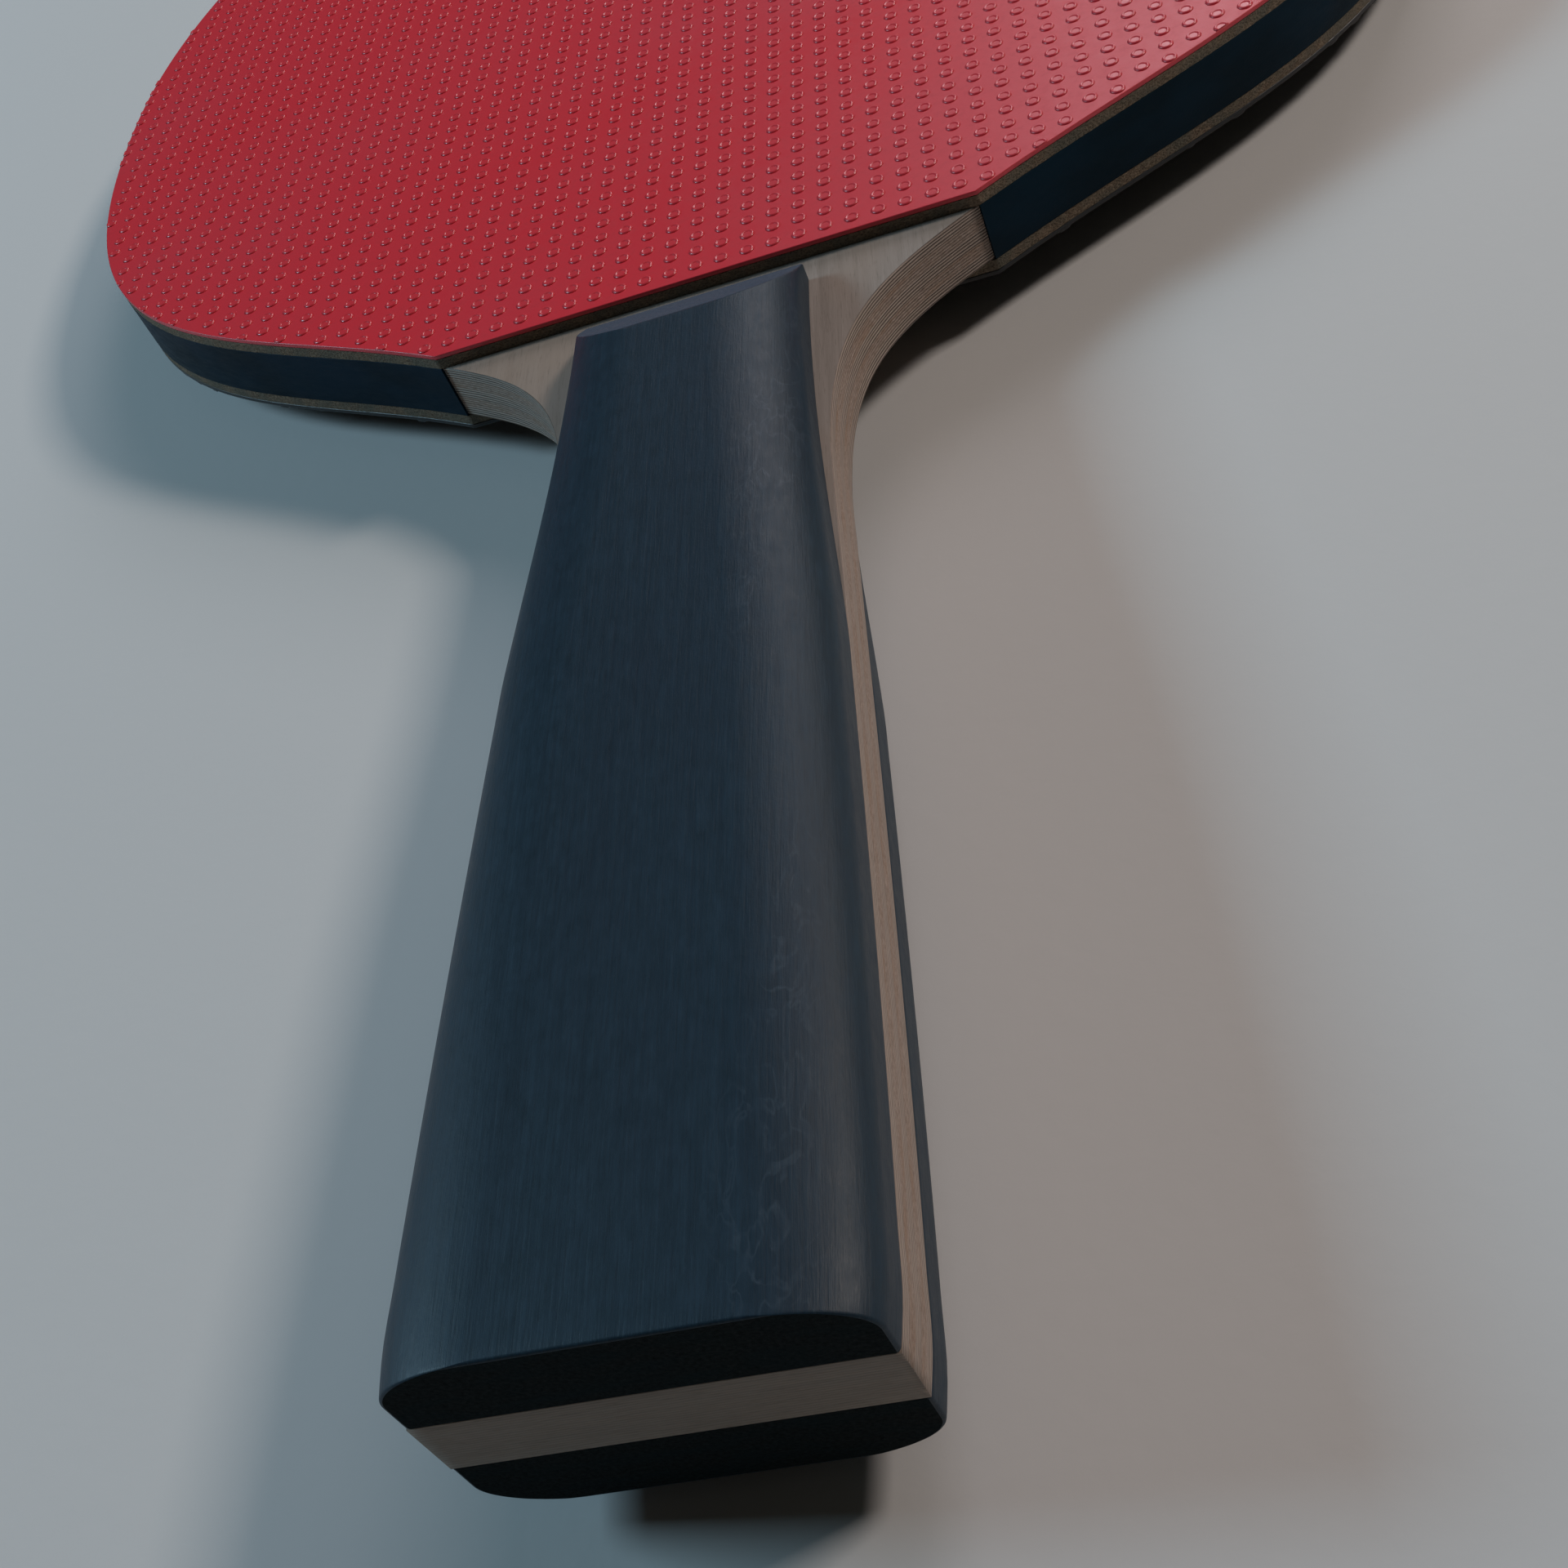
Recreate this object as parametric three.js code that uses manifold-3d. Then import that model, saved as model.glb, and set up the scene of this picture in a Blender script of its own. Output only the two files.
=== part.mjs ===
// Table tennis paddle: a five-ply wooden blade, a sponge and a pimpled rubber sheet on
// each face of its head, a tape round the edge, and two wooden handle scales.
// Millimetres, +Z up. The paddle lies level with its front (red) face up.
// X runs across it and +Y from the butt of the handle to the tip of the head. The origin
// is under the middle of its bounding box, at the height of the back scale's crown.

import * as THREE from 'three';
import { mergeVertices } from 'three/addons/utils/BufferGeometryUtils.js';
import Module from 'manifold-3d';

const wasm = await Module();
wasm.setup();

// Driving dimensions. Distances along the paddle are from the butt.
const PADDLE_LENGTH = 258;
const HEAD_HALF_WIDTH = 75.5;
const HEAD_WIDEST_AT = 175;
const RUBBER_EDGE_AT = 102;
const SHOULDER_HALF_WIDTH = 25.4;
const SHOULDER_ANGLE = THREE.MathUtils.degToRad(33.9);
const BUTT_HALF_WIDTH = 14.0;
const HANDLE_HALF_WIDTH = 14.2;
const HANDLE_CORNER = 2.5;
const NECK_HALF_WIDTH = 11.6;
const NECK_AT = 75;

// How the outline's curves are drawn out: each REACH is the distance from a curve's end to its
// control point, along the direction in which the curve leaves that end.
const SHOULDER_REACH = 30;
const SHOULDER_REACH_BACK = 12;
const WIDEST_REACH_DOWN = 54.5;
const WIDEST_REACH_UP = 44;
const TIP_REACH = 42;
const NECK_REACH_UP = 16;
const NECK_REACH_DOWN = 2;
const GRIP_HALF_WIDTH = 13.7;
const GRIP_AT = 32.5;

// Thicknesses. GLUE is the glue line between two layers.
const PLY = 1.08;
const PLY_NAMES = ['back_veneer', 'back_cross_ply', 'core_ply', 'front_cross_ply', 'front_veneer'];
const GLUE = 0.03;
const SPONGE = 1.0;
const SHEET = 0.58;
const TAPE = 0.22;
const SCALE = 6.1;

// Handle scales: where they leave the blade's outline, their straight end, and the slope
// down to that end. The crown rounds down to a vertical side wall.
const SCALE_LEAVES_BLADE_AT = 57;
const SCALE_END_AT = 98.6;
const SCALE_END_HALF_WIDTH = 10.05;
const SCALE_TAPER_HALF_WIDTH = 11.65;
const SCALE_TAPER_AT = 66;
const SCALE_STRAIGHT_FROM = 78;
const SCALE_END_WALL = 1.7;
const SCALE_SLOPE = THREE.MathUtils.degToRad(26.8);
const SCALE_SIDE_WALL = 2.6;
const CROWN_ROUND_WIDTH = 7;

// Derived heights, measured from the middle of the blade.
const BLADE_HALF = (PLY_NAMES.length * PLY + (PLY_NAMES.length - 1) * GLUE) / 2;
const SPONGE_FROM = BLADE_HALF + GLUE;
const SHEET_FROM = SPONGE_FROM + SPONGE + GLUE;
const SCALE_FROM = BLADE_HALF + GLUE;
const CROWN_AT = SCALE_FROM + SCALE;

const CURVE_STEPS = 20;
const CROWN_STEPS = 8;
const CUT_MARGIN = 20;

const WOOD_FACE = { color: 0x877a73, roughness: 0.6, metalness: 0 };
const WOOD_CORE = { color: 0x6b5d52, roughness: 0.75, metalness: 0 };
const STAINED_WOOD = { color: 0x1f2c3a, roughness: 0.45, metalness: 0 };
const SPONGE_RUBBER = { color: 0x4b4a46, roughness: 0.95, metalness: 0 };
const RED_RUBBER = { color: 0xa8323c, roughness: 0.45, metalness: 0 };
const BLACK_RUBBER = { color: 0x17181a, roughness: 0.45, metalness: 0 };
const TAPE_CLOTH = { color: 0x0e1f33, roughness: 0.6, metalness: 0 };

const point = (x, y) => new THREE.Vector2(x, y);
const shoulderDirection = point(Math.cos(SHOULDER_ANGLE), Math.sin(SHOULDER_ANGLE));

// ---- Outlines: each runs up the right-hand side, and its mirror image closes it ----

// The head's edge from the shoulder to the tip: two curves that meet, upright, where the head
// is widest.
function headEdge() {
  const shoulder = point(SHOULDER_HALF_WIDTH, RUBBER_EDGE_AT);
  const widest = point(HEAD_HALF_WIDTH, HEAD_WIDEST_AT);
  const tip = point(0, PADDLE_LENGTH);
  const lower = new THREE.CubicBezierCurve(
    shoulder,
    shoulder.clone().addScaledVector(shoulderDirection, SHOULDER_REACH),
    point(HEAD_HALF_WIDTH, HEAD_WIDEST_AT - WIDEST_REACH_DOWN),
    widest);
  const upper = new THREE.CubicBezierCurve(
    widest,
    point(HEAD_HALF_WIDTH, HEAD_WIDEST_AT + WIDEST_REACH_UP),
    point(TIP_REACH, PADDLE_LENGTH),
    tip);
  return [...lower.getPoints(CURVE_STEPS), ...upper.getPoints(CURVE_STEPS).slice(1)];
}

// The same points moved inward by a distance. The first and last keep their end directions.
function inset(points, distance) {
  return points.map((p, i) => {
    const before = points[Math.max(i - 1, 0)];
    const after = points[Math.min(i + 1, points.length - 1)];
    const along = i === points.length - 1 ? point(-1, 0) : after.clone().sub(before).normalize();
    return point(p.x - along.y * distance, p.y + along.x * distance);
  });
}

// The side of the handle, from the butt's corner to the narrowest place in the neck: almost
// straight along the grip, then drawing in to the neck.
function handleSide() {
  return new THREE.CubicBezierCurve(
    point(HANDLE_HALF_WIDTH, HANDLE_CORNER),
    point(GRIP_HALF_WIDTH, GRIP_AT),
    point(NECK_HALF_WIDTH, NECK_AT - NECK_REACH_DOWN),
    point(NECK_HALF_WIDTH, NECK_AT));
}

// The blade: butt, handle side, neck, and the head inside the tape.
function bladeOutline() {
  const head = inset(headEdge(), TAPE + GLUE);
  const shoulder = head[0];
  const neck = new THREE.CubicBezierCurve(
    point(NECK_HALF_WIDTH, NECK_AT),
    point(NECK_HALF_WIDTH, NECK_AT + NECK_REACH_UP),
    shoulder.clone().addScaledVector(shoulderDirection, -SHOULDER_REACH_BACK),
    shoulder);
  return [
    point(BUTT_HALF_WIDTH, 0),
    ...handleSide().getPoints(CURVE_STEPS),
    ...neck.getPoints(CURVE_STEPS).slice(1),
    ...head.slice(1),
  ];
}

// A handle scale, drawn past both of its ends so that the crown's rounding is cut square there.
function scaleOutline() {
  const along = handleSide().getPoints(CURVE_STEPS).filter((p) => p.y < SCALE_LEAVES_BLADE_AT);
  const start = along[along.length - 1];
  const taper = new THREE.CubicBezierCurve(
    start,
    point(SCALE_TAPER_HALF_WIDTH, SCALE_TAPER_AT),
    point(SCALE_END_HALF_WIDTH, SCALE_STRAIGHT_FROM),
    point(SCALE_END_HALF_WIDTH, SCALE_END_AT));
  return [
    point(BUTT_HALF_WIDTH, -CUT_MARGIN),
    point(BUTT_HALF_WIDTH, 0),
    ...along,
    ...taper.getPoints(CURVE_STEPS).slice(1),
    point(SCALE_END_HALF_WIDTH, SCALE_END_AT + CUT_MARGIN),
  ];
}

// A closed shape from a right-hand outline and its mirror image.
function mirroredShape(outline) {
  const left = outline.filter((p) => p.x > 0).map((p) => point(-p.x, p.y)).reverse();
  return new THREE.Shape([...outline, ...left]);
}

// ---- Solids ----

function slab(shape, thickness, from) {
  const geometry = new THREE.ExtrudeGeometry(shape, { depth: thickness, bevelEnabled: false });
  return geometry.translate(0, 0, from);
}

function toManifold(geometry) {
  const bare = geometry.clone();
  bare.deleteAttribute('normal');
  bare.deleteAttribute('uv');
  const merged = mergeVertices(bare, 1e-5);
  return new wasm.Manifold(new wasm.Mesh({
    numProp: 3,
    vertProperties: Float32Array.from(merged.attributes.position.array),
    triVerts: Uint32Array.from(merged.index.array),
  }));
}

function toGeometry(solid) {
  const mesh = solid.getMesh();
  const geometry = new THREE.BufferGeometry();
  geometry.setAttribute('position', new THREE.BufferAttribute(mesh.vertProperties, 3));
  geometry.setIndex(new THREE.BufferAttribute(mesh.triVerts, 1));
  geometry.computeVertexNormals();
  return geometry;
}

// A whole rounded handle is drawn round the blade, and the part above the blade is kept.
// Its upper end has a low wall, with a slope from the top of that wall up to the crown.
function handleScale() {
  const wallTop = SCALE_FROM + SCALE_SIDE_WALL;
  const round = new THREE.ExtrudeGeometry(mirroredShape(scaleOutline()), {
    depth: 2 * wallTop,
    bevelThickness: CROWN_AT - wallTop,
    bevelSize: CROWN_ROUND_WIDTH,
    bevelOffset: -CROWN_ROUND_WIDTH,
    bevelSegments: CROWN_STEPS,
  }).translate(0, 0, -wallTop);

  const room = new THREE.BoxGeometry(4 * HANDLE_HALF_WIDTH, SCALE_END_AT, 2 * SCALE);
  room.translate(0, SCALE_END_AT / 2, SCALE_FROM + SCALE);

  const slope = new THREE.BoxGeometry(4 * HANDLE_HALF_WIDTH, 4 * CUT_MARGIN, CUT_MARGIN);
  slope.translate(0, 0, CUT_MARGIN / 2);
  slope.rotateX(-SCALE_SLOPE);
  slope.translate(0, SCALE_END_AT, SCALE_FROM + SCALE_END_WALL);

  return toGeometry(toManifold(round).intersect(toManifold(room)).subtract(toManifold(slope)));
}

function edgeTape() {
  const outer = headEdge();
  const inner = inset(outer, TAPE);
  const mirror = (points) => points.map((p) => point(-p.x, p.y)).reverse();
  const ring = [...outer, ...mirror(outer).slice(1), ...inner.map((p) => point(-p.x, p.y)),
    ...inner.slice(0, -1).reverse()];
  return slab(new THREE.Shape(ring), 2 * BLADE_HALF, -BLADE_HALF);
}

// ---- Assembly ----

// Everything is placed from the butt and the middle of the blade, and this group moves it
// to the paddle's own origin.
const paddle = new THREE.Group();
paddle.position.set(0, -PADDLE_LENGTH / 2, CROWN_AT);

function addPart(name, geometry, finish) {
  const mesh = new THREE.Mesh(geometry, new THREE.MeshStandardMaterial(finish));
  mesh.name = name;
  paddle.add(mesh);
  return mesh;
}

const blade = mirroredShape(bladeOutline());
PLY_NAMES.forEach((name, i) => {
  const from = -BLADE_HALF + i * (PLY + GLUE);
  addPart(name, slab(blade, PLY, from), name.includes('veneer') ? WOOD_FACE : WOOD_CORE);
});

addPart('edge_tape', edgeTape(), TAPE_CLOTH);

const rubber = mirroredShape(headEdge());
addPart('front_sponge', slab(rubber, SPONGE, SPONGE_FROM), SPONGE_RUBBER);
addPart('front_rubber_sheet', slab(rubber, SHEET, SHEET_FROM), RED_RUBBER);
addPart('back_sponge', slab(rubber, SPONGE, -SPONGE_FROM - SPONGE), SPONGE_RUBBER);
addPart('back_rubber_sheet', slab(rubber, SHEET, -SHEET_FROM - SHEET), BLACK_RUBBER);

addPart('front_handle_scale', handleScale(), STAINED_WOOD);
addPart('back_handle_scale', handleScale(), STAINED_WOOD).rotation.y = Math.PI;

const root = new THREE.Group();
root.add(paddle);

export default root;
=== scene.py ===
"""Looks of the table tennis paddle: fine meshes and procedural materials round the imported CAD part.

Metres, in the part's own frame: X across the paddle, Y from the butt to the tip of the head,
+Z out of the red face.
"""

import math

import bpy
import numpy as np
from mathutils import Euler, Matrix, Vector


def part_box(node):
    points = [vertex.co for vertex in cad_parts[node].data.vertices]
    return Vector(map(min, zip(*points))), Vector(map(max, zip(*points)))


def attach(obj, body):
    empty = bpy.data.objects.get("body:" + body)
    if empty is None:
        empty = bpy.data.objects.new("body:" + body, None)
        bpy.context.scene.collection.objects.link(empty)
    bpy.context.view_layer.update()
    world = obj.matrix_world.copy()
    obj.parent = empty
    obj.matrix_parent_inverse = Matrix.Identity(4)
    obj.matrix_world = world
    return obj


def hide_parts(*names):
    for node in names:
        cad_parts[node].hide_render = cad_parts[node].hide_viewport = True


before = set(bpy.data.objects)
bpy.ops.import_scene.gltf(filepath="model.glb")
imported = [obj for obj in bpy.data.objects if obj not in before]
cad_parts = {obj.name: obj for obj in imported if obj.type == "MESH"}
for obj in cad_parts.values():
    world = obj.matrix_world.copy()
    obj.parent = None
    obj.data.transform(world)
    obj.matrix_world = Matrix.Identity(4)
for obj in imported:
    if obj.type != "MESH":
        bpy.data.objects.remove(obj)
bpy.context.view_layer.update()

MM = 0.001
SEED = 7
random = np.random.default_rng(SEED)

# The handle scales' section and upper end, the tape's thickness and the gap that stands for the glue
# between two layers, as in the CAD part.
SCALE_SIDE_WALL = 2.6 * MM
SCALE_CROWN_ROUND = 7 * MM
SCALE_END_WALL = 1.7 * MM
SCALE_SLOPE = math.radians(26.8)
TAPE_THICKNESS = 0.22 * MM
GLUE = 0.03 * MM

# A ply fills this share of the glue gap on each side where another ply follows, so that they all but meet.
GLUE_FILLED = 0.49

# Pimples: low round studs in a square grid on each rubber sheet. The shortest is this share of the full
# height, and polish is how glossy their skin is.
PIMPLE_PITCH = 2.414 * MM
PIMPLE_RADIUS = 0.72 * MM
PIMPLE_HEIGHT = 0.15 * MM
PIMPLE_SIDES = 12
SHORTEST_PIMPLE = 0.94
PIMPLE_POLISH = 0.42

# How far inside the sheet's outline the first row's centres lie, the least that any other centre does,
# and where a pimple that the outline cuts ends.
FIRST_ROW_INSIDE_EDGE = 1.76 * MM
OTHERS_INSIDE_EDGE = 0.1 * MM
CUT_PIMPLE_INSIDE_EDGE = 0.04 * MM

# A pimple from its foot, over a raised rim, to its sunken top, as shares of its radius and height.
PIMPLE_PROFILE = [(1.0, -0.2), (0.91, 0.55), (0.8, 0.97), (0.68, 0.97), (0.52, 0.45)]

# The distance between the dark lines along the edge of a ply: wood lines, with painted shade in their
# grooves. They are sanded shallower on the handle, up
# to the first place along Y, and have their full depth from the second.
LINE_PITCH = 0.27 * MM
SANDED_TO = -60 * MM
ROUGH_FROM = -30 * MM
SANDED_DEPTH = 0.6

# The pale curly figure of the handle wood is painted in a band about this far right of the middle, where
# the highlight falls: partly the wood's own figure, partly a painted glint.
FIGURE_GLINT_AT = 8.5 * MM

# How far edges are rounded.
SCALE_EDGE = 0.22 * MM
SCALE_UNDERSIDE_EDGE = 0.12 * MM
PLY_EDGE = 0.05 * MM
VENEER_EDGE = 0.08 * MM
RUBBER_EDGE = 0.08 * MM
TAPE_EDGE = 0.06 * MM
EDGE_STEPS = 3

# How far apart the points of each outline lie, and two corners that count as the same one.
PLY_SPACING = 0.9 * MM
TAPE_SPACING = 0.8 * MM
SPONGE_SPACING = 0.3 * MM
SHEET_SPACING = 0.6 * MM
PIMPLED_EDGE_SPACING = 0.5 * MM
SCALE_SPACING = 0.25 * MM
SAME_PLACE = 0.01 * MM

# The sponge's cut edge: its rows of points, and how uneven they are.
SPONGE_ROWS = 8
SPONGE_UNEVENNESS = 0.05 * MM

# Where the scale is lofted: its sections are closer together on the slope than along the grip.
GRIP_SECTIONS = 1.2 * MM
SLOPE_SECTIONS = 0.25 * MM
GRIP_FROM_BUTT = 1 * MM
GRIP_SHORT_OF_SLOPE = 1 * MM
SLOPE_LEAD = 0.9 * MM
SLOPE_SHORT_OF_EDGE = 0.1 * MM

# The crease where the crown meets the slope, and how a face on the slope leans: its normal's least and
# most along Y, and its least along Z.
SLOPE_CREASE = 0.1 * MM
SLOPE_LEAST_Y = 0.3
SLOPE_MOST_Y = 0.8
SLOPE_LEAST_Z = 0.7

# The most places whose distance to an outline is worked out at once.
PLACES_AT_ONCE = 400

# The floor, the lights and the camera.
FLOOR_REACH = 3.0
FLOOR_CLEARANCE = 0.02 * MM
LIGHTS_AIM_AT = (0, -30 * MM, 0)
CAMERA_LENS = 44.11
CAMERA_SENSOR = 36.0
CAMERA_AT = (38.29 * MM, -173.26 * MM, 99.72 * MM)
CAMERA_TURN = (42.365, 19.187, -0.047)
CAMERA_NEAREST = 5 * MM
WORLD_TINT = (1.0, 0.97, 0.85, 1)
WORLD_STRENGTH = 0.02


# ---- Outlines read from the CAD nodes ----

def corners(node, order, height):
    """The node's corners at that height, right-hand half only, in the given order."""
    seen = {}
    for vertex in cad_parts[node].data.vertices:
        x, y, z = vertex.co
        if x > -0.1 * SAME_PLACE and abs(z - height) < SAME_PLACE:
            seen[round(x / SAME_PLACE), round(y / SAME_PLACE)] = (max(x, 0.0), y)
    return np.array(sorted(seen.values(), key=order))


def smooth_through(points, spacing):
    """A smooth open curve through the points, sampled about every spacing."""
    steps = np.linalg.norm(np.diff(points, axis=0), axis=1)
    slopes = np.diff(points, axis=0) / steps[:, None]
    before, after = steps[:-1, None], steps[1:, None]
    inner = (slopes[:-1] * after + slopes[1:] * before) / (before + after)
    first = 1.5 * slopes[0] - 0.5 * inner[0]
    last = 1.5 * slopes[-1] - 0.5 * inner[-1]
    tangents = np.vstack([first, inner, last])
    curve = []
    for i, step in enumerate(steps):
        count = max(1, round(step / spacing))
        t = (np.arange(count) / count)[:, None]
        curve.append(
            (2 * t**3 - 3 * t**2 + 1) * points[i] + (t**3 - 2 * t**2 + t) * step * tangents[i]
            + (3 * t**2 - 2 * t**3) * points[i + 1] + (t**3 - t**2) * step * tangents[i + 1])
    curve.append(points[-1:])
    return np.vstack(curve)


def line(start, end, spacing):
    """Points from start to end, without either of them."""
    count = max(1, round(float(np.linalg.norm(end - start)) / spacing))
    t = (np.arange(1, count) / count)[:, None]
    return start + (end - start) * t


def head_curve(node, spacing):
    """A node's edge from its lower right-hand corner, round the tip, to its lower left-hand one."""
    low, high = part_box(node)
    centre = high.y - high.x
    right = corners(node, lambda p: math.atan2(p[1] - centre, p[0]), low.z)
    left = right[right[:, 0] > 0][::-1] * (-1, 1)
    return smooth_through(np.vstack([right, left]), spacing)


def outline(node, spacing):
    """The node's whole outline, anticlockwise: its curved edge, and the straight line that closes it."""
    curve = head_curve(node, spacing)
    return np.vstack([curve, line(curve[-1], curve[0], spacing)])


def outward(points, closed=True):
    """The outward direction at each point of an anticlockwise outline. It is longer at a corner, where
    it has to reach the mitre."""
    along = np.roll(points, -1, 0) - points
    if not closed:
        along[-1] = along[-2]
    along /= np.linalg.norm(along, axis=1)[:, None]
    normal = np.column_stack([along[:, 1], -along[:, 0]])
    previous = np.roll(normal, 1, 0)
    if not closed:
        previous[0] = normal[0]
    return (normal + previous) / (1 + (normal * previous).sum(1))[:, None]


# ---- Meshes ----

def add_piece(name, vertices, faces, nodes, materials, face_materials=None, flat=()):
    """A piece that rides on the paddle, stands for its CAD nodes and takes its finish from a slot.
    It is smooth, apart from its flat faces and the edges round them."""
    mesh = bpy.data.meshes.new(name)
    mesh.from_pydata(np.asarray(vertices).tolist(), [], [list(face) for face in faces])
    mesh.update()
    mesh.shade_smooth()
    sharp = set()
    for index in flat:
        mesh.polygons[index].use_smooth = False
        sharp.update(mesh.polygons[index].edge_keys)
    mesh.edges.foreach_set("use_edge_sharp", [edge.key in sharp for edge in mesh.edges])
    for finish in materials:
        mesh.materials.append(finish)
    if face_materials is not None:
        mesh.polygons.foreach_set("material_index", face_materials)
    piece = bpy.data.objects.new(name, mesh)
    bpy.context.scene.collection.objects.link(piece)
    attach(piece, "root")
    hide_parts(*nodes)
    return piece


def grid_faces(rows, columns, closed):
    """Quads between rows of points that lie one after another; closed joins each row's end to its start."""
    across = columns if closed else columns - 1
    faces = []
    for row in range(rows - 1):
        for column in range(across):
            here, beside = row * columns + column, row * columns + (column + 1) % columns
            faces.append((here, beside, beside + columns, here + columns))
    return faces


def slab(points, levels):
    """A solid of one outline. levels gives (height, how far the outline is drawn in), from below.
    Returns its vertices and faces; the last two faces are its underside and its top."""
    direction = outward(points)
    rings = [np.column_stack([points - direction * inset, np.full(len(points), height)])
             for height, inset in levels]
    count = len(points)
    faces = grid_faces(len(rings), count, closed=True)
    top = (len(rings) - 1) * count
    faces.append(tuple(range(count - 1, -1, -1)))
    faces.append(tuple(range(top, top + count)))
    return np.vstack(rings), faces


def quarter_turn(radius):
    """A rounded edge from a side to an end: (how far short of the end, how far in from the side)."""
    angles = [math.pi / 2 * i / EDGE_STEPS for i in range(EDGE_STEPS + 1)]
    return [(radius * (1 - math.sin(a)), radius * (1 - math.cos(a))) for a in angles]


def rounded_levels(low, high, radius, round_low=True, round_high=True):
    """Levels for a slab whose edges are rounded by a quarter circle."""
    levels = []
    rounding = quarter_turn(radius)
    if round_low:
        levels += [(low + short, inset) for short, inset in reversed(rounding)]
    else:
        levels.append((low, 0.0))
    if round_high:
        levels += [(high - short, inset) for short, inset in rounding]
    else:
        levels.append((high, 0.0))
    return levels


# ---- Materials ----

def colour(red, green, blue):
    """A colour given as 0 to 255 on screen, as the shader wants it."""
    def linear(value):
        value /= 255
        return value / 12.92 if value <= 0.04045 else ((value + 0.055) / 1.055) ** 2.4
    return (linear(red), linear(green), linear(blue), 1.0)


class Finish:
    """A procedural material: one shader, and short ways to add the nodes that feed it."""

    def __init__(self, name, **constants):
        self.material = bpy.data.materials.new(name)
        self.material.use_nodes = True
        self.tree = self.material.node_tree
        self.shader = self.tree.nodes["Principled BSDF"]
        for socket, value in constants.items():
            self.shader.inputs[socket.replace("_", " ")].default_value = value
        self.place = self.tree.nodes.new("ShaderNodeTexCoord").outputs["Object"]

    def node(self, kind, settings=None, **inputs):
        """A node with these settings and inputs. An underscore stands for a space in an input's name."""
        made = self.tree.nodes.new(kind)
        for key, value in (settings or {}).items():
            setattr(made, key, value)
        for key, value in inputs.items():
            self.feed(made.inputs[key.replace("_", " ")], value)
        return made

    def feed(self, socket, value):
        """Links a socket to another node's output, or sets it to a plain value."""
        if isinstance(value, bpy.types.NodeSocket):
            self.tree.links.new(value, socket)
        else:
            socket.default_value = value

    def scaled(self, size):
        """The place on the object, in units of size, which is (x, y, z) in metres."""
        mapping = self.node("ShaderNodeMapping", Vector=self.place)
        mapping.inputs["Scale"].default_value = [1 / s for s in size]
        return mapping.outputs["Vector"]

    def noise(self, size, detail=3.0, roughness=0.5, distortion=0.0):
        """Noise whose features are about size, (x, y, z) in metres."""
        made = self.node("ShaderNodeTexNoise", Vector=self.scaled(size), Scale=1.0, Detail=detail,
                         Roughness=roughness, Distortion=distortion)
        return made.outputs["Fac"]

    def cells(self, size):
        """The distance from the middle of the nearest cell, for cells of about that size."""
        made = self.node("ShaderNodeTexVoronoi", Vector=self.scaled(size), Scale=1.0)
        return made.outputs["Distance"]

    def spread(self, value, low, high, to_low=0.0, to_high=1.0):
        """The value, with low to high stretched to to_low to to_high and held inside them."""
        made = self.node("ShaderNodeMapRange", Value=value, From_Min=low, From_Max=high)
        self.feed(made.inputs["To Min"], to_low)
        self.feed(made.inputs["To Max"], to_high)
        return made.outputs["Result"]

    def math(self, operation, first, second=0.0):
        """The result of a Math node."""
        made = self.tree.nodes.new("ShaderNodeMath")
        made.operation = operation
        self.feed(made.inputs[0], first)
        self.feed(made.inputs[1], second)
        return made.outputs[0]

    def mix(self, share, first, second):
        """The first colour, with a share of the second mixed in."""
        made = self.node("ShaderNodeMix", {"data_type": "RGBA"})
        self.feed(made.inputs["Factor"], share)
        colour_inputs = [socket for socket in made.inputs if socket.type == "RGBA"]
        self.feed(colour_inputs[0], first)
        self.feed(colour_inputs[1], second)
        return next(socket for socket in made.outputs if socket.type == "RGBA")

    def bump(self, height, depth, below=None):
        """A bump of the given depth in metres for height from 0 to 1, on top of another bump."""
        made = self.node("ShaderNodeBump", Height=height, Distance=depth, Strength=1.0)
        if below is not None:
            self.tree.links.new(below, made.inputs["Normal"])
        return made.outputs["Normal"]

    def finish(self, base, roughness, normal):
        """The finished material."""
        self.feed(self.shader.inputs["Base Color"], base)
        self.feed(self.shader.inputs["Roughness"], roughness)
        self.feed(self.shader.inputs["Normal"], normal)
        return self.material


def rubber(name, main, worn, dark, polish=0.0):
    """Moulded rubber: a satin skin with a faint bloom, broad darker patches and a fine matt grain.
    polish is how far a smoother skin shows through, as it does on the pimples."""
    made = Finish(name, IOR=1.5, Specular_IOR_Level=0.5, Coat_Weight=polish, Coat_Roughness=0.2)
    patches = made.noise((26 * MM, 26 * MM, 26 * MM), detail=3)
    grain = made.noise((0.16 * MM, 0.16 * MM, 0.16 * MM), detail=2)
    dust = made.noise((1.1 * MM, 1.1 * MM, 1.1 * MM), detail=4, roughness=0.65)
    base = made.mix(made.spread(patches, 0.35, 0.7), main, worn)
    base = made.mix(made.spread(dust, 0.5, 0.8, 0.0, 0.35), base, dark)
    satin = made.spread(dust, 0.3, 0.7, 0.32, 0.42)
    roughness = made.math("ADD", satin, made.spread(patches, 0.3, 0.7, -0.03, 0.03))
    normal = made.bump(grain, 0.004 * MM, made.bump(dust, 0.006 * MM))
    return made.finish(base, roughness, normal)


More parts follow.
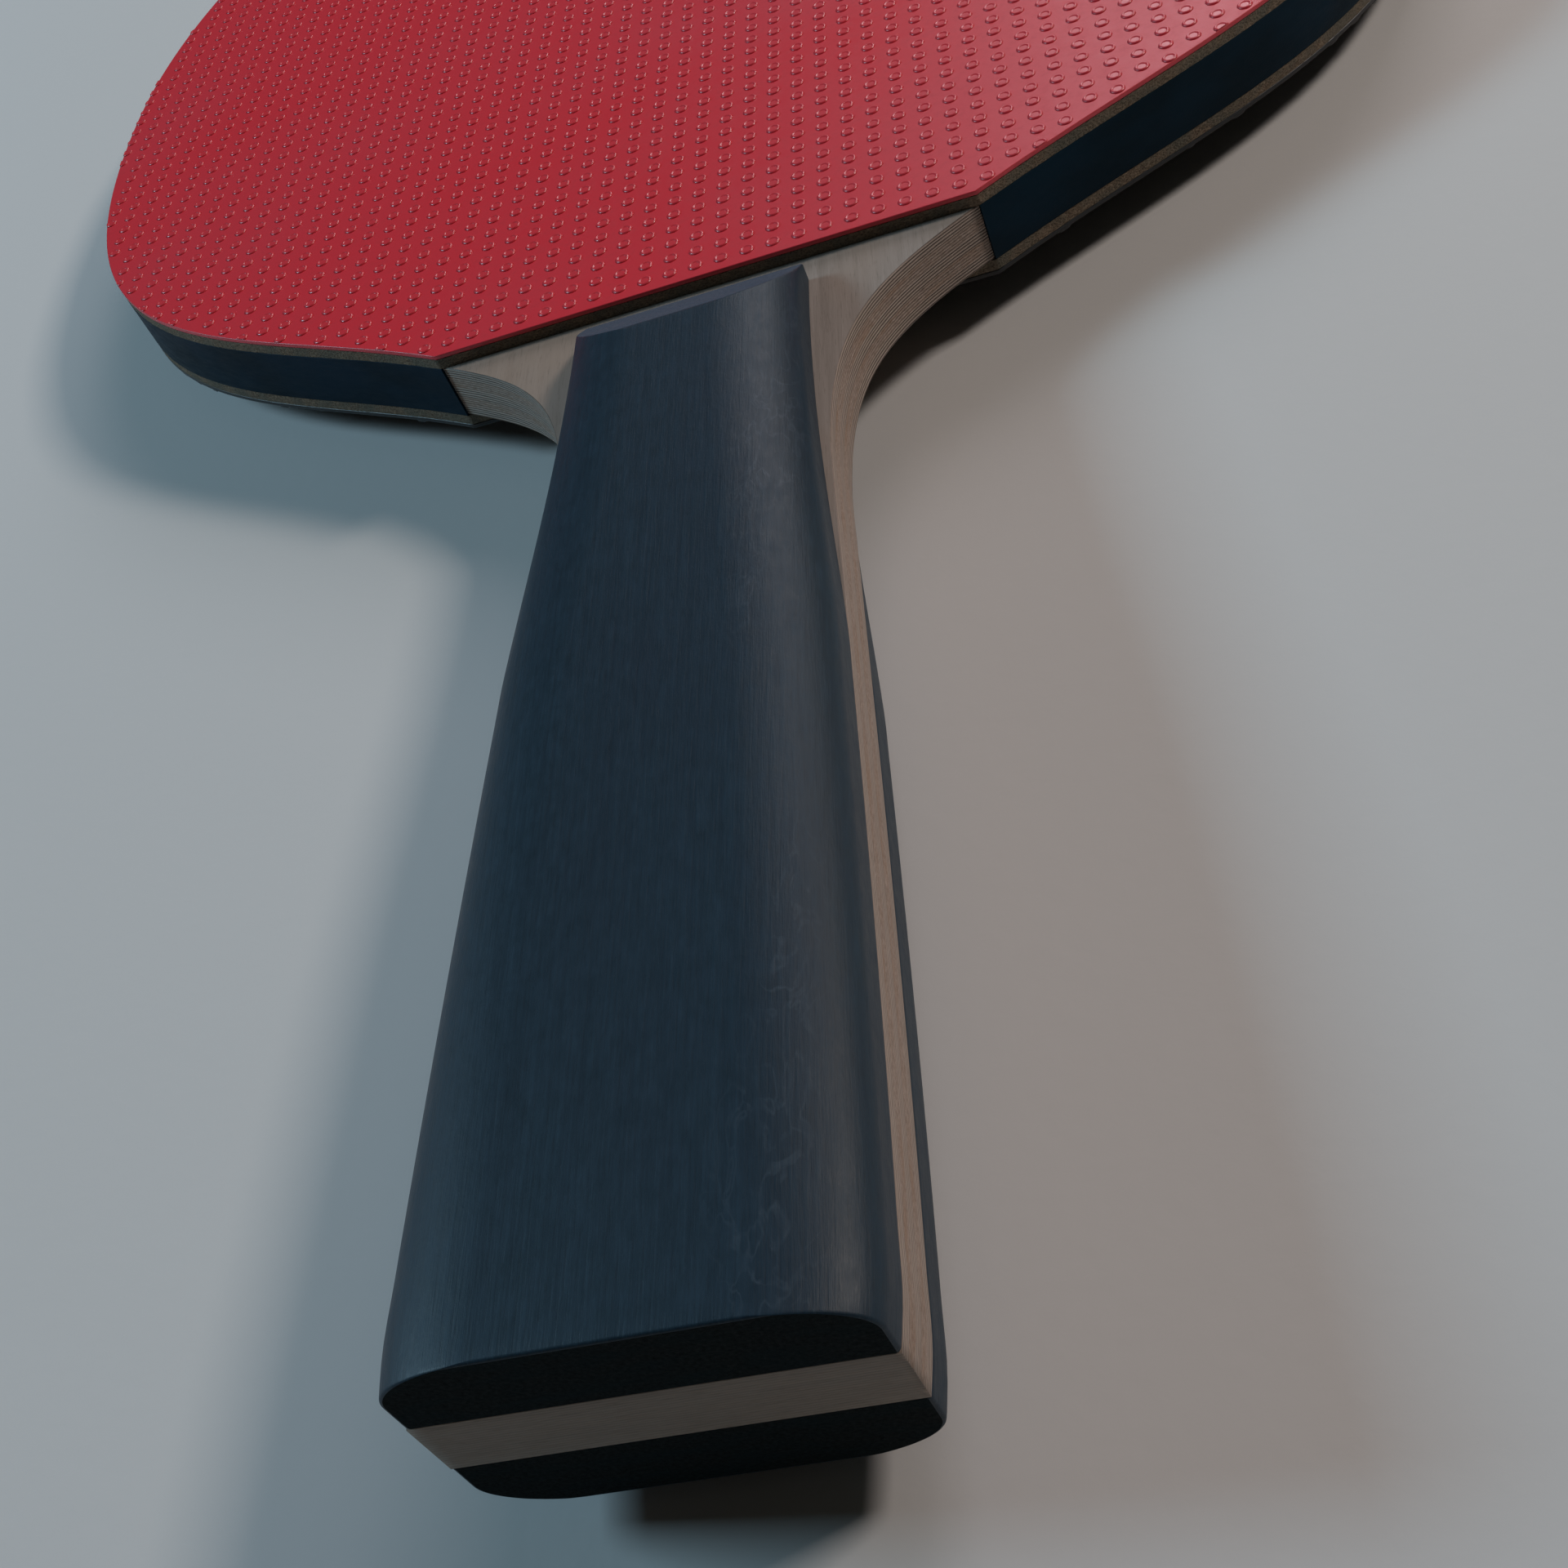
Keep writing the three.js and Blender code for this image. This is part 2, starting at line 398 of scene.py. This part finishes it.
def foam(name):
    """Sponge cut with a blade: fine open pores in grey-brown foam, their hollows darkened with painted
    shade.
    """
    made = Finish(name, IOR=1.45, Specular_IOR_Level=0.2)
    pores = made.cells((0.22 * MM, 0.22 * MM, 0.16 * MM))
    grain = made.noise((0.5 * MM, 0.5 * MM, 0.2 * MM), detail=4, roughness=0.7)
    tint = made.noise((3 * MM, 3 * MM, 3 * MM), detail=2)
    base = made.mix(made.spread(grain, 0.3, 0.7), colour(96, 80, 66), colour(150, 132, 112))
    base = made.mix(made.spread(tint, 0.4, 0.65), base, colour(108, 102, 90))
    # Painted shade: the middles of the pores are darkened as shade inside the open cells.
    base = made.mix(made.spread(pores, 0.15, 0.55, 0.5, 0.0), base, colour(26, 22, 19))
    normal = made.bump(pores, 0.05 * MM, made.bump(grain, 0.05 * MM))
    return made.finish(base, made.spread(grain, 0.3, 0.7, 0.85, 0.98), normal)


def tape(name):
    """Edge tape: dark blue and matt, with a fine weave and soft ripples."""
    made = Finish(name, IOR=1.45, Specular_IOR_Level=0.12)
    weave = made.noise((0.35 * MM, 0.35 * MM, 0.12 * MM), detail=2)
    ripples = made.noise((9 * MM, 9 * MM, 4 * MM), detail=2)
    scuffs = made.noise((2.2 * MM, 2.2 * MM, 0.5 * MM), detail=5, roughness=0.7)
    base = made.mix(made.spread(ripples, 0.35, 0.65), colour(3, 28, 40), colour(5, 36, 52))
    base = made.mix(made.spread(scuffs, 0.62, 0.8, 0.0, 0.15), base, colour(30, 48, 66))
    normal = made.bump(weave, 0.012 * MM, made.bump(ripples, 0.06 * MM))
    return made.finish(base, made.spread(scuffs, 0.3, 0.75, 0.45, 0.62), normal)


def stained_wood(name):
    """Dark blue stained handle wood: fine grain along the handle, with faint pale curls in one band: wood
    figure, with a painted glint where the highlight falls.
    """
    made = Finish(name, IOR=1.45, Specular_IOR_Level=0.4)
    grain = made.noise((0.3 * MM, 9 * MM, 0.3 * MM), detail=5, roughness=0.65, distortion=0.3)
    fibres = made.noise((0.11 * MM, 1.8 * MM, 0.11 * MM), detail=3, roughness=0.6)
    clouds = made.noise((8 * MM, 24 * MM, 8 * MM), detail=3)
    mottle = made.noise((0.9 * MM, 1.6 * MM, 0.9 * MM), detail=4, roughness=0.7)
    curls = made.noise((2.0 * MM, 4.5 * MM, 2.0 * MM), detail=2, roughness=0.5, distortion=1.2)
    from_middle = made.math("ABSOLUTE", made.math("SUBTRACT", curls, 0.5))
    figure = made.spread(from_middle, 0.0, 0.045, 1.0, 0.0)
    across = made.node("ShaderNodeSeparateXYZ", Vector=made.place).outputs["X"]
    off_band = made.math("ABSOLUTE", made.math("SUBTRACT", across, FIGURE_GLINT_AT))
    # Painted glint: the pale curls show only in the band where the highlight falls on the crown.
    figure_and_glint = made.math("MULTIPLY", figure, made.spread(off_band, 1 * MM, 4 * MM, 0.24, 0.0))
    figure_and_glint = made.math("MULTIPLY", figure_and_glint, made.spread(clouds, 0.42, 0.55))
    figure_and_glint = made.math("MULTIPLY", figure_and_glint, made.spread(mottle, 0.4, 0.6, 0.3, 1.0))
    base = made.mix(made.spread(grain, 0.3, 0.7), colour(18, 41, 56), colour(31, 56, 72))
    base = made.mix(made.spread(mottle, 0.35, 0.7, 0.0, 0.6), base, colour(26, 44, 54))
    base = made.mix(made.spread(clouds, 0.35, 0.7, 0.0, 0.4), base, colour(28, 43, 57))
    base = made.mix(figure_and_glint, base, colour(90, 106, 120))
    base = made.mix(made.spread(fibres, 0.3, 0.5, 0.3, 0.0), base, colour(10, 22, 31))
    normal = made.bump(fibres, 0.012 * MM, made.bump(grain, 0.022 * MM, made.bump(mottle, 0.02 * MM)))
    return made.finish(base, made.spread(mottle, 0.3, 0.7, 0.54, 0.44), normal)


def stained_cut(name, dark, pale, cloud):
    """The same wood where it is cut across or sanded back: matt and speckled, with no long grain."""
    made = Finish(name, IOR=1.4, Specular_IOR_Level=0.1)
    ends = made.noise((0.3 * MM, 0.3 * MM, 0.3 * MM), detail=4, roughness=0.7)
    clouds = made.noise((4 * MM, 4 * MM, 1.2 * MM), detail=3)
    base = made.mix(made.spread(ends, 0.3, 0.7), dark, pale)
    base = made.mix(made.spread(clouds, 0.45, 0.7, 0.0, 0.5), base, cloud)
    return made.finish(base, made.spread(ends, 0.3, 0.7, 0.95, 0.8), made.bump(ends, 0.04 * MM))


def face_grain(name):
    """The blade's face: pale sanded veneer with its grain along the paddle."""
    made = Finish(name, IOR=1.45, Specular_IOR_Level=0.35)
    grain = made.noise((0.7 * MM, 22 * MM, 0.7 * MM), detail=5, roughness=0.6, distortion=0.2)
    pores = made.noise((0.1 * MM, 1.6 * MM, 0.1 * MM), detail=2)
    clouds = made.noise((9 * MM, 15 * MM, 9 * MM), detail=2)
    base = made.mix(made.spread(grain, 0.3, 0.7), colour(137, 126, 117), colour(159, 147, 138))
    base = made.mix(made.spread(clouds, 0.4, 0.68, 0.0, 0.6), base, colour(152, 132, 116))
    base = made.mix(made.spread(pores, 0.3, 0.42, 0.3, 0.0), base, colour(96, 84, 74))
    normal = made.bump(pores, 0.014 * MM, made.bump(grain, 0.02 * MM))
    return made.finish(base, made.spread(grain, 0.3, 0.7, 0.62, 0.52), normal)


def edge_ridges(made, relief):
    """Ridges that run along a ply's edge, LINE_PITCH apart: 1 on a ridge, less in a groove.
    relief is 1 for grooves at their deepest, and 0 for none. The handle's sides are sanded smoother."""
    wander = made.noise((9 * MM, 9 * MM, 1.5 * MM), detail=3)
    crowding = made.noise((45 * MM, 45 * MM, 0.9 * MM), detail=1)
    place = made.node("ShaderNodeSeparateXYZ", Vector=made.place)
    turns = made.math("MULTIPLY", place.outputs["Z"], 2 * math.pi / LINE_PITCH)
    turns = made.math("ADD", turns, made.math("MULTIPLY", wander, 4.0))
    wave = made.math("SINE", made.math("ADD", turns, made.math("MULTIPLY", crowding, 4.0)))
    groove = made.spread(wave, -1.0, 0.6, 1.0, 0.0)
    depth = made.spread(place.outputs["Y"], SANDED_TO, ROUGH_FROM, SANDED_DEPTH * relief, relief)
    return made.math("SUBTRACT", 1.0, made.math("MULTIPLY", groove, depth))


def long_grain(name, relief, pale, depth):
    """A ply's edge along its grain: fine ridges LINE_PITCH apart, their grooves coloured darker, partly as
    the wood's own lines and partly as painted shade.
    """
    made = Finish(name, IOR=1.45, Specular_IOR_Level=0.4)
    ridges = edge_ridges(made, relief)
    streaks = made.noise((14 * MM, 14 * MM, 0.3 * MM), detail=3, roughness=0.6)
    fibres = made.noise((1.2 * MM, 1.2 * MM, 0.06 * MM), detail=3, roughness=0.65)
    specks = made.noise((0.5 * MM, 0.5 * MM, 0.12 * MM), detail=3)
    # Painted shade: the grooves are coloured darker, besides their bump.
    base = made.mix(ridges, colour(74, 61, 52), pale)
    base = made.mix(made.spread(streaks, 0.4, 0.65, 0.0, 0.35), base, colour(160, 140, 123))
    base = made.mix(made.spread(fibres, 0.3, 0.5, 0.35, 0.0), base, colour(84, 68, 57))
    base = made.mix(made.spread(specks, 0.62, 0.78, 0.0, 0.3), base, colour(168, 132, 104))
    normal = made.bump(fibres, 0.2 * depth, made.bump(ridges, depth))
    return made.finish(base, made.spread(fibres, 0.3, 0.7, 0.62, 0.48), normal)


def end_grain(name, relief, dark, pale):
    """A ply's edge across its grain: cut fibre ends, speckled, with shallower ridges whose grooves carry
    painted shade.
    """
    made = Finish(name, IOR=1.45, Specular_IOR_Level=0.3)
    ends = made.noise((0.45 * MM, 0.45 * MM, 0.14 * MM), detail=4, roughness=0.7)
    ridges = edge_ridges(made, relief)
    clouds = made.noise((5 * MM, 5 * MM, 0.8 * MM), detail=3)
    base = made.mix(made.spread(ends, 0.32, 0.68), dark, pale)
    # Painted shade: the grooves between the ridges are coloured darker.
    base = made.mix(made.spread(ridges, 0.0, 0.7, 0.5, 0.0), base, colour(88, 70, 58))
    base = made.mix(made.spread(clouds, 0.45, 0.7, 0.0, 0.5), base, colour(156, 124, 100))
    normal = made.bump(ends, 0.03 * MM, made.bump(ridges, 0.05 * MM))
    return made.finish(base, made.spread(ends, 0.3, 0.7, 0.8, 0.65), normal)


def floor_paper(name):
    """Pale matt studio floor."""
    made = Finish(name, IOR=1.4)
    fibres = made.noise((1.5 * MM, 1.5 * MM, 1.5 * MM), detail=4)
    broad = made.noise((400 * MM, 400 * MM, 400 * MM), detail=2)
    base = made.mix(made.spread(broad, 0.3, 0.7), colour(210, 208, 205), colour(216, 214, 212))
    return made.finish(base, made.spread(fibres, 0.3, 0.7, 0.8, 0.9), made.bump(fibres, 0.02 * MM))


FACE_GRAIN = face_grain("face_grain")
SIDE_LONG_GRAIN = long_grain("side_long_grain", 1.0, colour(189, 171, 159), 0.11 * MM)
SIDE_END_GRAIN = end_grain("side_end_grain", 1.0, colour(134, 117, 105), colour(187, 168, 156))
BUTT_GRAIN = long_grain("butt_grain", 0.4, colour(150, 135, 122), 0.02 * MM)
STAINED_WOOD = stained_wood("stained_wood")
# The butt ends are darker than the handle: partly the stain that end grain soaks up, partly painted shade
# of the butt, which faces away from the lights.
STAINED_END_AND_SHADE = stained_cut("stained_wood_end_and_shade", colour(17, 21, 22), colour(36, 42, 43), colour(21, 36, 40))
STAINED_SLOPE = stained_cut("stained_wood_slope", colour(62, 70, 82), colour(86, 94, 107),
                            colour(68, 80, 96))
TAPE = tape("edge_tape")
FOAM = foam("sponge")

RED = (colour(221, 54, 66), colour(215, 58, 71), colour(186, 45, 54))
BLACK = (colour(24, 25, 27), colour(30, 31, 33), colour(17, 17, 19))
RED_SHEET = rubber("red_rubber", *RED)
RED_PIMPLES = rubber("red_pimples", *RED, polish=PIMPLE_POLISH)
BLACK_SHEET = rubber("black_rubber", *BLACK)
BLACK_PIMPLES = rubber("black_pimples", *BLACK, polish=PIMPLE_POLISH)


# ---- The blade's plies ----

def add_ply(node, side, round_low=False, round_high=False):
    """One ply. side is the material of its long edge. It fills its share of the glue gap on each
    side where another ply follows."""
    low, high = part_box(node)
    bottom = low.z if round_low else low.z - GLUE_FILLED * GLUE
    top = high.z if round_high else high.z + GLUE_FILLED * GLUE
    points = outline(node, PLY_SPACING)
    edge = VENEER_EDGE if round_low or round_high else PLY_EDGE
    levels = rounded_levels(bottom, top, edge, round_low=round_low, round_high=round_high)
    vertices, faces = slab(points, levels)
    at_butt = {i for i, p in enumerate(points) if p[1] < low.y + SAME_PLACE}
    kinds = []
    for face in faces[:-2]:
        both = face[0] % len(points) in at_butt and face[1] % len(points) in at_butt
        kinds.append(1 if both else 0)
    kinds += [2, 2]
    last = len(faces) - 1
    add_piece(node + "_mesh", vertices, faces, [node],
              [side, BUTT_GRAIN, FACE_GRAIN], face_materials=kinds, flat=[last - 1, last])


add_ply("back_veneer", SIDE_LONG_GRAIN, round_low=True)
add_ply("back_cross_ply", SIDE_END_GRAIN)
add_ply("core_ply", SIDE_LONG_GRAIN)
add_ply("front_cross_ply", SIDE_END_GRAIN)
add_ply("front_veneer", SIDE_LONG_GRAIN, round_high=True)


# ---- Edge tape ----

def add_tape():
    """The tape as one strip with rounded outer edges, swept from shoulder to shoulder."""
    low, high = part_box("edge_tape")
    outer = head_curve("front_rubber_sheet", TAPE_SPACING)
    direction = outward(outer, closed=False)
    section = [(TAPE_THICKNESS, low.z)]
    section += [(inset, z) for z, inset in rounded_levels(low.z, high.z, TAPE_EDGE)]
    section += [(TAPE_THICKNESS, high.z)]
    rings = [np.column_stack([outer - direction * inset, np.full(len(outer), z)]) for inset, z in section]
    vertices = np.stack(rings, axis=1).reshape(-1, 3)
    across = len(section)
    faces = [tuple(reversed(face)) for face in grid_faces(len(outer), across, closed=True)]
    faces.append(tuple(range(across)))
    faces.append(tuple(range(len(vertices) - 1, len(vertices) - 1 - across, -1)))
    last = len(faces) - 1
    add_piece("edge_tape_mesh", vertices, faces, ["edge_tape"], [TAPE], flat=[last - 1, last])


add_tape()


# ---- Sponges, rubber sheets and pimples ----

def add_sponge(node):
    """A sponge whose cut edge is slightly uneven, as cut foam is."""
    low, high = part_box(node)
    points = outline(node, SPONGE_SPACING)
    heights = np.linspace(low.z, high.z, SPONGE_ROWS)
    vertices, faces = slab(points, [(height, 0.0) for height in heights])
    direction = np.tile(outward(points), (SPONGE_ROWS, 1))
    uneven = random.uniform(0.0, SPONGE_UNEVENNESS, len(vertices))
    vertices[:, :2] -= direction * uneven[:, None]
    last = len(faces) - 1
    add_piece(node + "_mesh", vertices, faces, [node], [FOAM], flat=[last - 1, last])


def beyond_edge(places, points):
    """How far each place is outside the outline, negative inside it, and the outward direction there."""
    direction = outward(points)
    direction /= np.linalg.norm(direction, axis=1)[:, None]
    distances, directions = [], []
    for some in np.array_split(places, max(1, len(places) // PLACES_AT_ONCE)):
        away = ((some[:, None] - points[None]) ** 2).sum(2)
        nearest = away.argmin(1)
        directions.append(direction[nearest])
        distances.append(((some - points[nearest]) * direction[nearest]).sum(1))
    return np.concatenate(distances), np.vstack(directions)


def pimple_places(points):
    """The grid's centres: one column on the middle line, and the first row just inside the straight
    edge."""
    low, high = points.min(0), points.max(0)
    count = int(high[0] // PIMPLE_PITCH)
    across = np.arange(-count, count + 1) * PIMPLE_PITCH
    along = np.arange(low[1] + FIRST_ROW_INSIDE_EDGE, high[1], PIMPLE_PITCH)
    places = np.array([(x, y) for y in along for x in across])
    distance, _ = beyond_edge(places, points)
    return places[distance < -OTHERS_INSIDE_EDGE]


def add_pimples(name, node, finish, base, up, places, points):
    """Pimples at these places on a sheet, each a closed low stud. One that the sheet's edge cuts ends
    just inside it."""
    rings = len(PIMPLE_PROFILE)
    share, rise = np.array(PIMPLE_PROFILE).T
    start = random.uniform(0, 2 * math.pi, len(places))
    height = PIMPLE_HEIGHT * random.uniform(SHORTEST_PIMPLE, 1.0, len(places))
    angle = start[:, None] + up * 2 * math.pi * np.arange(PIMPLE_SIDES) / PIMPLE_SIDES
    stud = np.empty((len(places), rings, PIMPLE_SIDES, 3))
    radius = PIMPLE_RADIUS * share[None, :, None]
    stud[..., 0] = places[:, 0, None, None] + radius * np.cos(angle)[:, None, :]
    stud[..., 1] = places[:, 1, None, None] + radius * np.sin(angle)[:, None, :]
    stud[..., 2] = base + up * (height[:, None] * rise)[:, :, None]
    vertices = stud.reshape(-1, 3)

    one = grid_faces(rings, PIMPLE_SIDES, closed=True)
    one.append(tuple(range((rings - 1) * PIMPLE_SIDES, rings * PIMPLE_SIDES)))
    one.append(tuple(range(PIMPLE_SIDES - 1, -1, -1)))
    faces = [tuple(first + i for i in face)
             for first in range(0, len(vertices), rings * PIMPLE_SIDES) for face in one]
    tops = range(len(one) - 2, len(faces), len(one))

    distance, direction = beyond_edge(vertices[:, :2], points)
    over = np.maximum(distance + CUT_PIMPLE_INSIDE_EDGE, 0.0)
    vertices[:, :2] -= direction * over[:, None]
    add_piece(name, vertices, faces, [node], [finish], flat=tops)


def add_rubber(side, sheet_finish, pimple_finish, up):
    """A rubber sheet and its pimples. up is 1 where the pimples point to +Z."""
    node = side + "_rubber_sheet"
    low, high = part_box(node)
    if up > 0:
        base = high.z - PIMPLE_HEIGHT
        bottom, top = low.z, base
    else:
        base = low.z + PIMPLE_HEIGHT
        bottom, top = base, high.z
    vertices, faces = slab(outline(node, SHEET_SPACING), rounded_levels(bottom, top, RUBBER_EDGE))
    last = len(faces) - 1
    add_piece(node + "_mesh", vertices, faces, [node], [sheet_finish], flat=[last - 1, last])

    edge = outline(node, PIMPLED_EDGE_SPACING)
    places = pimple_places(edge)
    middle = (low.y + high.y) / 2
    for part, some in (("near", places[:, 1] < middle), ("far", places[:, 1] >= middle)):
        add_pimples(f"{side}_pimples_{part}", node, pimple_finish, base, up, places[some], edge)


add_sponge("front_sponge")
add_sponge("back_sponge")
add_rubber("front", RED_SHEET, RED_PIMPLES, 1)
add_rubber("back", BLACK_SHEET, BLACK_PIMPLES, -1)


# ---- Handle scales ----

def side_curve(half_width, top, crown, wall_points=20, arc_points=90):
    """A scale's side from near its underside up to the height top: a wall, then a quarter ellipse."""
    wall_top = min(SCALE_SIDE_WALL, top)
    wall = np.column_stack([np.full(wall_points, half_width),
                            np.linspace(SCALE_UNDERSIDE_EDGE, wall_top, wall_points)])
    if top <= SCALE_SIDE_WALL:
        return wall
    rise = crown - SCALE_SIDE_WALL
    end = math.asin(min(1.0, (top - SCALE_SIDE_WALL) / rise))
    angle = np.linspace(0, end, arc_points)[1:]
    arc = np.column_stack([half_width - SCALE_CROWN_ROUND * (1 - np.cos(angle)),
                           SCALE_SIDE_WALL + rise * np.sin(angle)])
    return np.vstack([wall, arc])


def scale_section(half_width, top, crown, side_points=34, edge_points=5, top_points=16):
    """The right-hand half of a scale's section, from its underside's middle to its top's middle."""
    curve = side_curve(half_width, top, crown)
    length = np.concatenate([[0], np.cumsum(np.linalg.norm(np.diff(curve, axis=0), axis=1))])
    sampled = np.linspace(0, length[-1] - SCALE_EDGE, side_points)
    side = np.column_stack([np.interp(sampled, length, curve[:, i]) for i in (0, 1)])
    corner = curve[-1]
    after = corner - (SCALE_EDGE, 0)
    t = (np.arange(1, edge_points + 1) / edge_points)[:, None]
    edge = (1 - t) ** 2 * side[-1] + 2 * t * (1 - t) * corner + t**2 * after
    flat = np.column_stack([np.linspace(after[0], 0, top_points)[1:], np.full(top_points - 1, top)])
    under = half_width - SCALE_UNDERSIDE_EDGE
    eased = 0.3 * SCALE_UNDERSIDE_EDGE
    lower_edge = [(under, 0), (half_width - eased, eased)]
    return np.vstack([[(0, 0)], lower_edge, side, edge, flat])


def softly_lower(first, second, soft):
    """The lower of two heights, with the change from one to the other rounded over about 2 * soft."""
    return min(first, second) - soft * math.log1p(math.exp(-abs(first - second) / soft))


def on_slope(first_corners, slope_from):
    """Whether the face with these first three corners is on the slope at a scale's upper end."""
    a, b, c = first_corners
    normal = np.cross(b - a, c - b)
    normal /= np.linalg.norm(normal)
    leans = SLOPE_LEAST_Y < abs(normal[1]) < SLOPE_MOST_Y and abs(normal[2]) > SLOPE_LEAST_Z
    return a[1] > slope_from and leans


def add_scale(node, up):
    """A handle scale lofted along the handle. up is 1 for the front one."""
    low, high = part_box(node)
    glued = low.z if up > 0 else high.z
    crown = high.z - low.z
    side = smooth_through(corners(node, lambda p: p[1], glued), SCALE_SPACING)
    slope_from = high.y - (crown - SCALE_END_WALL) / math.tan(SCALE_SLOPE)

    def half_width(y):
        return float(np.interp(y, side[:, 1], side[:, 0]))

    rounding = quarter_turn(SCALE_EDGE)
    grip = np.arange(low.y + GRIP_FROM_BUTT, slope_from - GRIP_SHORT_OF_SLOPE, GRIP_SECTIONS)
    slope_to = high.y - SCALE_EDGE - SLOPE_SHORT_OF_EDGE
    slope = np.arange(slope_from - SLOPE_LEAD, slope_to, SLOPE_SECTIONS)
    stations = [(low.y + short, inset) for short, inset in reversed(rounding)]
    stations += [(y, 0.0) for y in [*grip, *slope]]
    stations += [(high.y - short, inset) for short, inset in rounding]

    rings = []
    for y, inset in stations:
        slope_height = SCALE_END_WALL + (high.y - y) * math.tan(SCALE_SLOPE)
        top = softly_lower(crown, slope_height, SLOPE_CREASE)
        half = scale_section(half_width(y) - inset, top - inset, crown)
        left = half[-2:0:-1] * (-1, 1)
        ring = np.vstack([half, left])
        rings.append(np.column_stack([ring[:, 0], np.full(len(ring), y), glued + up * ring[:, 1]]))
    vertices = np.vstack(rings)
    count = len(rings[0])
    faces = grid_faces(len(rings), count, closed=True)
    faces.append(tuple(range(count - 1, -1, -1)))
    faces.append(tuple(range(len(vertices) - count, len(vertices))))
    if up > 0:
        faces = [tuple(reversed(face)) for face in faces]
    kinds = [2 if on_slope(vertices[list(face[:3])], slope_from) else 0 for face in faces[:-2]]
    kinds += [1, 0]
    last = len(faces) - 1
    add_piece(node + "_mesh", vertices, faces, [node],
              [STAINED_WOOD, STAINED_END_AND_SHADE, STAINED_SLOPE], face_materials=kinds, flat=[last - 1, last])


add_scale("front_handle_scale", 1)
add_scale("back_handle_scale", -1)


# ---- Floor, light and camera ----

def add_floor():
    """The paddle lies on the end of its back crown and on the back pimples at the tip of its head."""
    scale_low, scale_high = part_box("back_handle_scale")
    sheet_low, sheet_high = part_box("back_rubber_sheet")
    crown = scale_high.z - scale_low.z
    rests_at = scale_high.y - (crown - SCALE_END_WALL) / math.tan(SCALE_SLOPE)
    tilt = math.atan2(sheet_low.z - scale_low.z, sheet_high.y - rests_at)
    far = FLOOR_REACH
    mesh = bpy.data.meshes.new("floor")
    mesh.from_pydata([(-far, -far, 0), (far, -far, 0), (far, far, 0), (-far, far, 0)], [], [(0, 1, 2, 3)])
    mesh.materials.append(floor_paper("floor"))
    floor = bpy.data.objects.new("floor", mesh)
    floor.location = (0, rests_at, scale_low.z - FLOOR_CLEARANCE)
    floor.rotation_euler = (tilt, 0, 0)
    bpy.context.scene.collection.objects.link(floor)


def add_light(name, azimuth, elevation, distance, size, power, tint):
    """A soft light over the paddle. Azimuth is from +X towards +Y, in degrees."""
    data = bpy.data.lights.new(name, "AREA")
    data.shape = "RECTANGLE"
    data.size, data.size_y = size
    data.energy = power
    data.color = tint
    light = bpy.data.objects.new(name, data)
    a, e = math.radians(azimuth), math.radians(elevation)
    towards = Vector((math.cos(a) * math.cos(e), math.sin(a) * math.cos(e), math.sin(e)))
    light.location = Vector(LIGHTS_AIM_AT) + towards * distance
    light.rotation_euler = towards.to_track_quat("Z", "Y").to_euler()
    bpy.context.scene.collection.objects.link(light)


def add_camera():
    """The camera, close behind and above the butt, looking along the handle to the head."""
    data = bpy.data.cameras.new("camera")
    data.lens = CAMERA_LENS
    data.sensor_width = CAMERA_SENSOR
    data.clip_start = CAMERA_NEAREST
    camera = bpy.data.objects.new("camera", data)
    camera.location = CAMERA_AT
    camera.rotation_euler = Euler([math.radians(angle) for angle in CAMERA_TURN])
    bpy.context.scene.collection.objects.link(camera)
    bpy.context.scene.camera = camera


def add_world():
    """The weak light that comes from all round."""
    world = bpy.data.worlds.new("world")
    world.use_nodes = True
    background = world.node_tree.nodes["Background"]
    background.inputs["Color"].default_value = WORLD_TINT
    background.inputs["Strength"].default_value = WORLD_STRENGTH
    bpy.context.scene.world = world


add_floor()
add_light("right", azimuth=16, elevation=40, distance=0.8, size=(0.14, 0.14),
          power=2.6, tint=(1.0, 0.9, 0.84))
add_light("left", azimuth=174, elevation=35, distance=0.9, size=(0.22, 0.22),
          power=3.4, tint=(0.5, 0.8, 1.0))
add_light("back", azimuth=74, elevation=36, distance=0.9, size=(0.4, 0.4),
          power=1.8, tint=(0.97, 0.94, 1.0))
add_camera()
add_world()
bpy.context.scene.view_settings.view_transform = "Standard"
